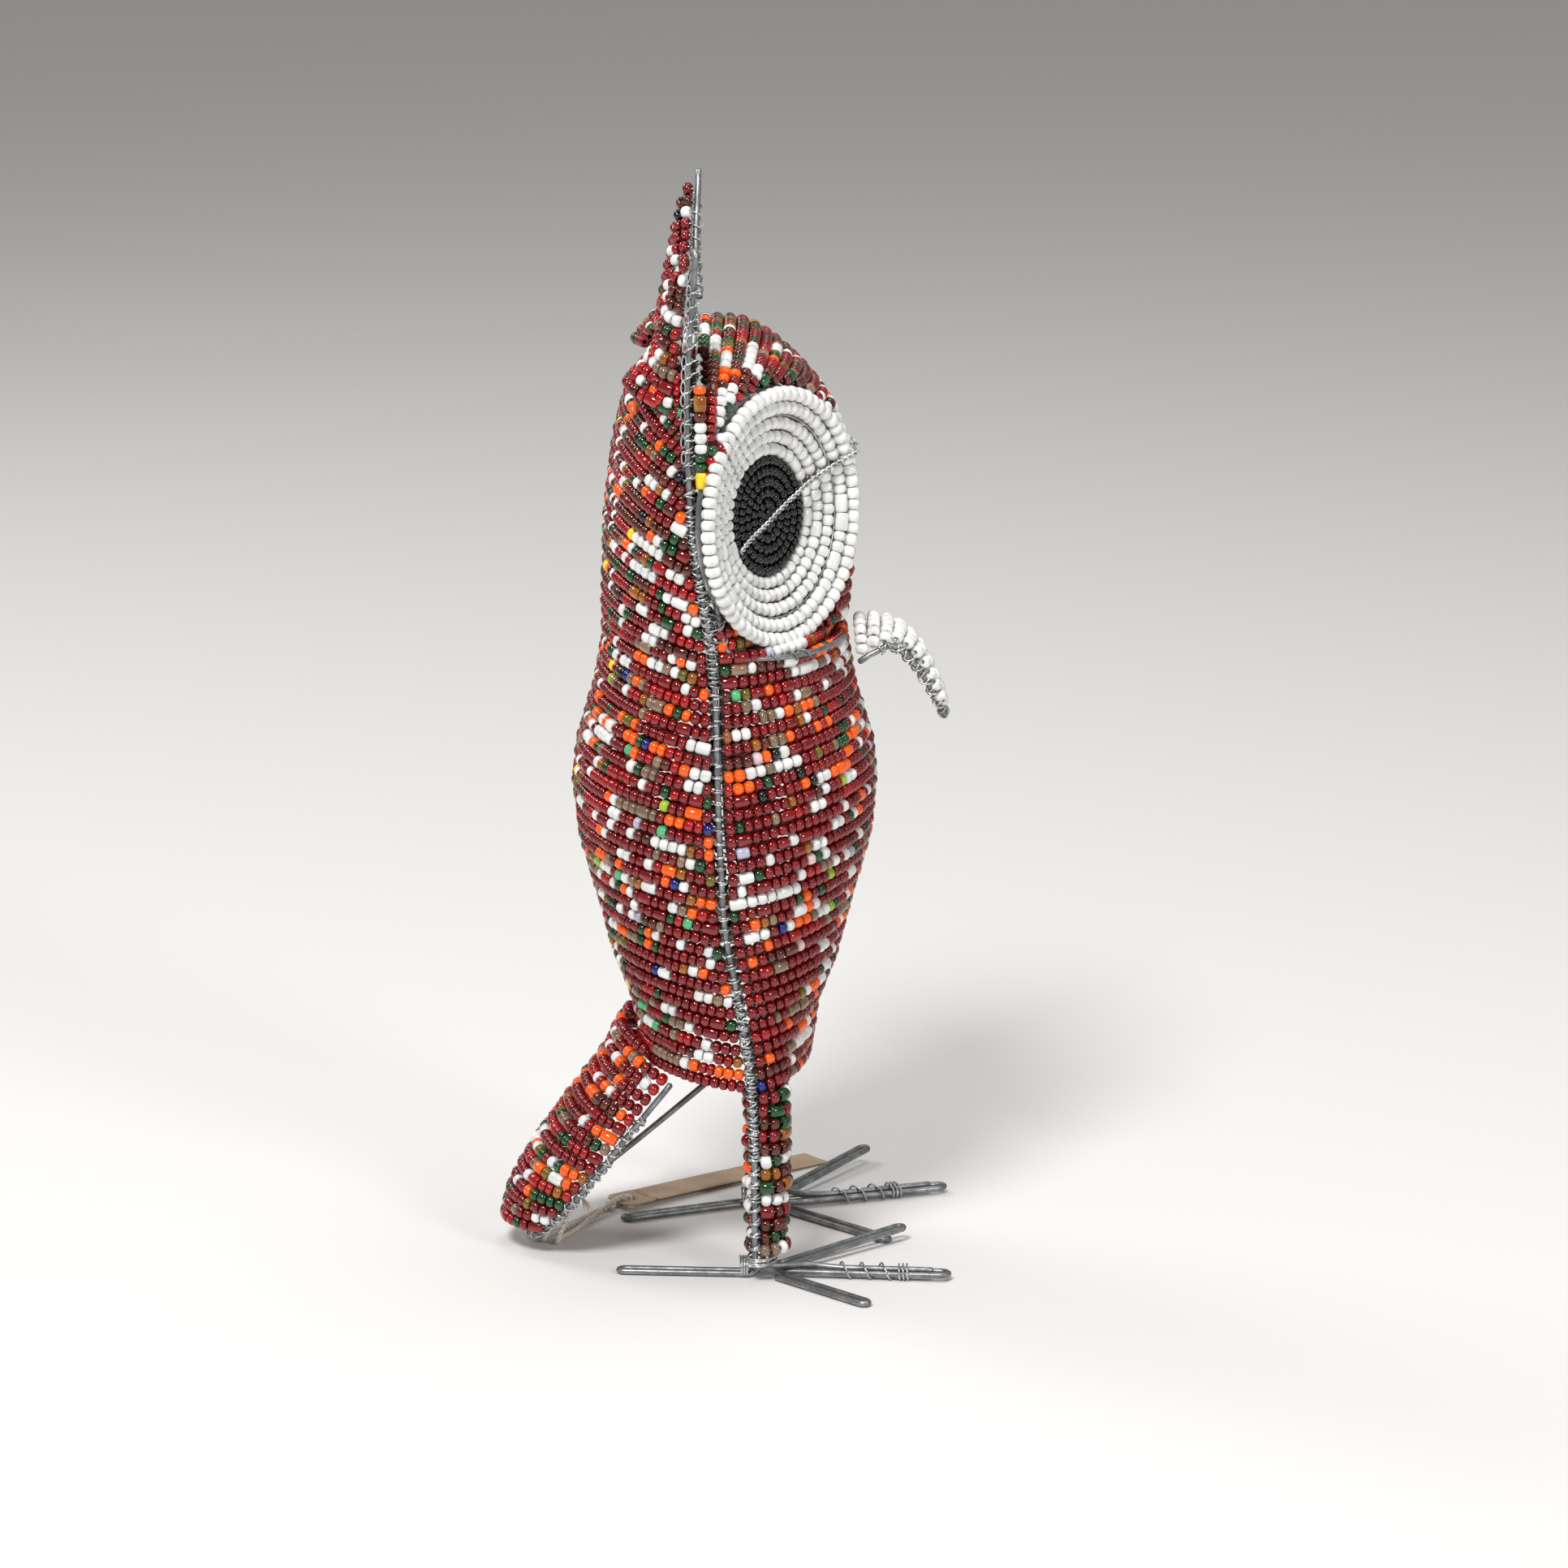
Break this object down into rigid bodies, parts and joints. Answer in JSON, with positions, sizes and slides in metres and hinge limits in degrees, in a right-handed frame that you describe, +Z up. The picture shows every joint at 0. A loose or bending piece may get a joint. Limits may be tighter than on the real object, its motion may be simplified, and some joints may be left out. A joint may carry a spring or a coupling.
{
  "type": "beaded wire owl figure",
  "caption": "Standing owl of threaded glass beads over a bent wire frame, with large dished eyes, a hooked beak, pointed ears, wire toes and a paper tag on a cotton string.",
  "frame": {"origin": "centre of the bottom of the owl's box, on the ground between the feet, without its tag", "axes": "+Z up, -Y the way the owl faces, +X its own left"},
  "size_m": [0.1652, 0.148, 0.3459],
  "materials": {
    "galvanised_wire": "dull zinc",
    "red_beads": "glossy, mostly dark red with white, orange and green",
    "brown_beads": "glossy, mixed brown red, amber, green and white",
    "white_beads": "glossy opaque white",
    "black_beads": "glossy black",
    "kraft_paper": "matte",
    "cotton": "twisted two-ply string"
  },
  "bodies": {
    "owl": {"back_rib": "galvanised_wire", "base_hoop": "galvanised_wire", "beak_beads": "white_beads", "beak_wire": "galvanised_wire", "body_back_beads": "red_beads", "body_front_beads": "red_beads", "chest_hoop": "galvanised_wire", "crown_beads": "brown_beads", "face_beads": "red_beads", "front_rib": "galvanised_wire", "head_back_beads": "brown_beads", "head_top_beads": "brown_beads", "left_ankle_binding": "galvanised_wire", "left_back_toe": "galvanised_wire", "left_ear_beads": "brown_beads", "left_eye_dish_beads": "white_beads", "left_eye_hoop": "galvanised_wire", "left_eye_rim_beads": "white_beads", "left_eye_twisted_wire": "galvanised_wire", "left_inner_toe": "galvanised_wire", "left_leg_beads": "brown_beads", "left_middle_toe": "galvanised_wire", "left_outer_toe": "galvanised_wire", "left_pupil_beads": "black_beads", "left_side_rib": "galvanised_wire", "left_toe_binding": "galvanised_wire", "neck_hoop": "galvanised_wire", "right_ankle_binding": "galvanised_wire", "right_back_toe": "galvanised_wire", "right_ear_beads": "brown_beads", "right_eye_dish_beads": "white_beads", "right_eye_hoop": "galvanised_wire", "right_eye_rim_beads": "white_beads", "right_eye_twisted_wire": "galvanised_wire", "right_inner_toe": "galvanised_wire", "right_leg_beads": "brown_beads", "right_middle_toe": "galvanised_wire", "right_outer_toe": "galvanised_wire", "right_pupil_beads": "black_beads", "right_side_rib": "galvanised_wire", "right_toe_binding": "galvanised_wire", "tail_beads": "red_beads", "tail_brace": "galvanised_wire", "tail_wire": "galvanised_wire"},
    "tag": {"tag_card": "kraft_paper", "tag_string": "cotton"}
  },
  "joints": [
    {"name": "tag_swing", "type": "hinge", "parent": "owl", "child": "tag", "pos_m": [-0.00928, 0.046, 0], "axis": [0, 0, 1], "range_deg": [0, 35]}
  ]
}
